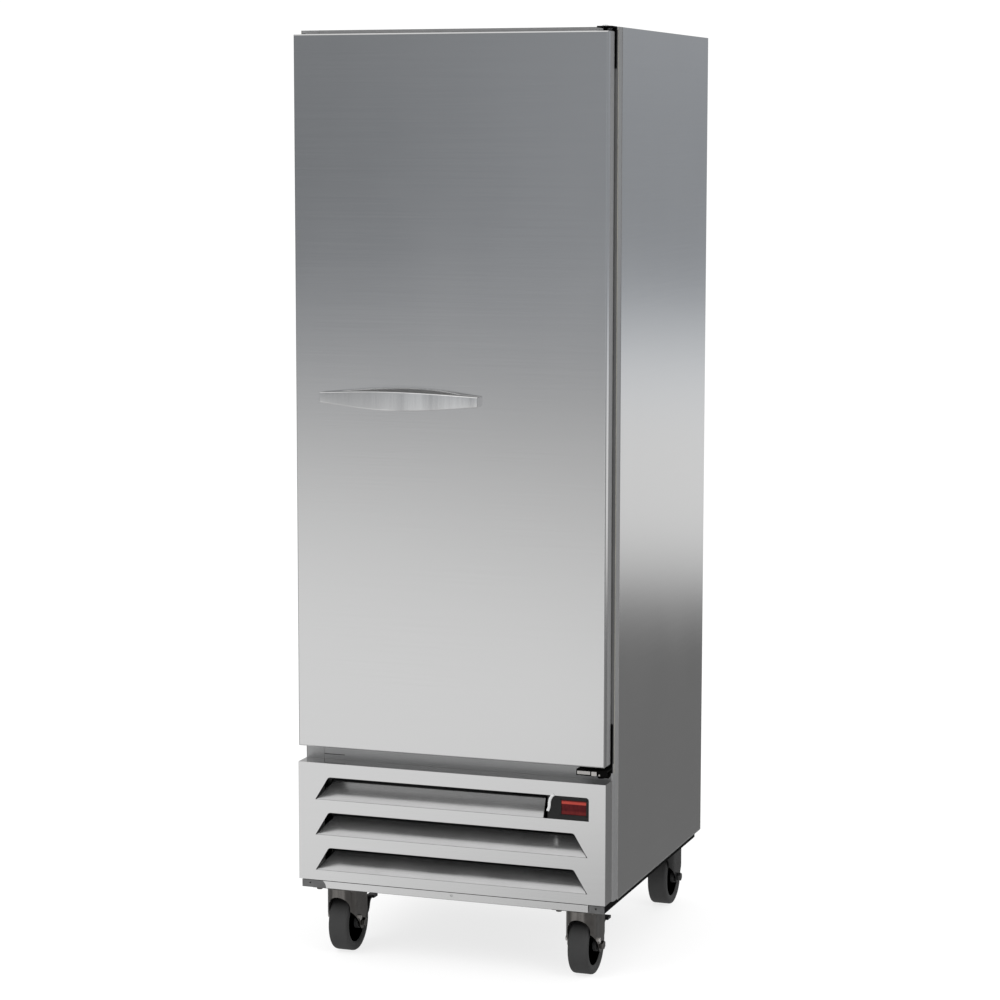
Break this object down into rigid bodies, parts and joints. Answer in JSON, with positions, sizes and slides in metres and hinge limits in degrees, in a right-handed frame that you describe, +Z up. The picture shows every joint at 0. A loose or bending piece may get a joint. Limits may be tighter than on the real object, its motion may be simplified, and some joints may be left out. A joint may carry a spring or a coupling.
{
  "type": "reach-in refrigerator",
  "caption": "Tall upright stainless refrigerated cabinet on swivel casters, with a hinged solid door, bowed pull handle, wire shelves and a louvred machine compartment below.",
  "frame": {"origin": "on the floor, under the middle of the object's bounding box (door handle at the front, rear wheels at the back)", "axes": "+Z up, -Y towards the person who opens the door, +X towards the hinge side"},
  "size_m": [0.692, 0.814, 1.9695],
  "materials": {
    "stainless": "satin",
    "handle_metal": "satin",
    "galvanised": "satin",
    "aluminium": "satin",
    "shelf_wire": "gloss",
    "coil_fins": "satin",
    "black_steel": "satin",
    "black_plastic": "matte",
    "red_lens": "gloss",
    "foam": "matte",
    "white_liner": "satin",
    "gasket_rubber": "matte",
    "zinc": "satin",
    "tyre": "matte",
    "pedal_steel": "satin"
  },
  "bodies": {
    "cabinet": {"left_stile": "stainless", "left_side_panel": "stainless", "right_stile": "stainless", "right_side_panel": "stainless", "header_rail": "stainless", "bottom_panel": "stainless", "top_panel": "stainless", "back_panel": "galvanised", "inner_liner": "aluminium", "foam_insulation": "foam", "shelf_pilaster_front_left": "galvanised", "shelf_pilaster_rear_left": "galvanised", "shelf_pilaster_front_right": "galvanised", "shelf_pilaster_rear_right": "galvanised", "wire_shelf_1": "shelf_wire", "wire_shelf_2": "shelf_wire", "wire_shelf_3": "shelf_wire", "evaporator_housing": "aluminium", "evaporator_coil": "coil_fins", "evaporator_fan_motor": "black_steel", "light_bar": "white_liner", "machine_base": "black_steel", "front_cross_member": "galvanised", "grille_panel": "stainless", "rear_grille": "galvanised", "power_inlet": "black_plastic", "condenser_coil": "black_steel", "condenser_shroud": "black_steel", "condenser_fan_motor": "black_steel", "compressor": "black_steel", "condensate_pan": "black_plastic", "controller_housing": "black_plastic", "display_lens": "red_lens", "top_hinge": "black_steel", "bottom_hinge": "black_steel", "caster_plate_front_left": "zinc", "caster_plate_front_right": "zinc", "caster_plate_rear_left": "zinc", "caster_plate_rear_right": "zinc"},
    "door": {"door_skin": "stainless", "door_foam": "foam", "door_inner_panel": "white_liner", "door_gasket": "gasket_rubber", "door_handle": "handle_metal"},
    "evaporator_fan": {"evaporator_fan": "black_plastic"},
    "condenser_fan": {"condenser_fan": "aluminium"},
    "front_left_swivel": {"caster_yoke_front_left": "zinc", "caster_axle_front_left": "zinc"},
    "front_left_wheel": {"caster_wheel_front_left": "tyre"},
    "front_left_brake": {"brake_pedal_front_left": "pedal_steel"},
    "front_right_swivel": {"caster_yoke_front_right": "zinc", "caster_axle_front_right": "zinc"},
    "front_right_wheel": {"caster_wheel_front_right": "tyre"},
    "front_right_brake": {"brake_pedal_front_right": "pedal_steel"},
    "rear_left_swivel": {"caster_yoke_rear_left": "zinc", "caster_axle_rear_left": "zinc"},
    "rear_left_wheel": {"caster_wheel_rear_left": "tyre"},
    "rear_right_swivel": {"caster_yoke_rear_right": "zinc", "caster_axle_rear_right": "zinc"},
    "rear_right_wheel": {"caster_wheel_rear_right": "tyre"}
  },
  "joints": [
    {"name": "door_swing", "type": "hinge", "parent": "cabinet", "child": "door", "pos_m": [0.327, -0.3315, 1.21], "axis": [0, 0, 1], "range_deg": [0, 120]},
    {"name": "evaporator_fan_spin", "type": "hinge", "parent": "cabinet", "child": "evaporator_fan", "pos_m": [0.108, 0.1465, 1.848], "axis": [0, 0, 1], "continuous": true},
    {"name": "condenser_fan_spin", "type": "hinge", "parent": "cabinet", "child": "condenser_fan", "pos_m": [-0.08, -0.2255, 0.296], "axis": [0, 1, 0], "continuous": true},
    {"name": "front_left_swivel_turn", "type": "hinge", "parent": "cabinet", "child": "front_left_swivel", "pos_m": [-0.27, -0.2805, 0.146], "axis": [0, 0, 1], "continuous": true},
    {"name": "front_left_wheel_roll", "type": "hinge", "parent": "front_left_swivel", "child": "front_left_wheel", "pos_m": [-0.27, -0.2505, 0.0635], "axis": [1, 0, 0], "continuous": true},
    {"name": "front_left_brake_press", "type": "hinge", "parent": "front_left_swivel", "child": "front_left_brake", "pos_m": [-0.27, -0.2085, 0.126], "axis": [-1, 0, 0], "range_deg": [0, 12]},
    {"name": "front_right_swivel_turn", "type": "hinge", "parent": "cabinet", "child": "front_right_swivel", "pos_m": [0.27, -0.2805, 0.146], "axis": [0, 0, 1], "continuous": true},
    {"name": "front_right_wheel_roll", "type": "hinge", "parent": "front_right_swivel", "child": "front_right_wheel", "pos_m": [0.27, -0.2505, 0.0635], "axis": [1, 0, 0], "continuous": true},
    {"name": "front_right_brake_press", "type": "hinge", "parent": "front_right_swivel", "child": "front_right_brake", "pos_m": [0.27, -0.2085, 0.126], "axis": [-1, 0, 0], "range_deg": [0, 12]},
    {"name": "rear_left_swivel_turn", "type": "hinge", "parent": "cabinet", "child": "rear_left_swivel", "pos_m": [-0.27, 0.3135, 0.146], "axis": [0, 0, 1], "continuous": true},
    {"name": "rear_left_wheel_roll", "type": "hinge", "parent": "rear_left_swivel", "child": "rear_left_wheel", "pos_m": [-0.27, 0.3435, 0.0635], "axis": [1, 0, 0], "continuous": true},
    {"name": "rear_right_swivel_turn", "type": "hinge", "parent": "cabinet", "child": "rear_right_swivel", "pos_m": [0.27, 0.3135, 0.146], "axis": [0, 0, 1], "continuous": true},
    {"name": "rear_right_wheel_roll", "type": "hinge", "parent": "rear_right_swivel", "child": "rear_right_wheel", "pos_m": [0.27, 0.3435, 0.0635], "axis": [1, 0, 0], "continuous": true}
  ]
}
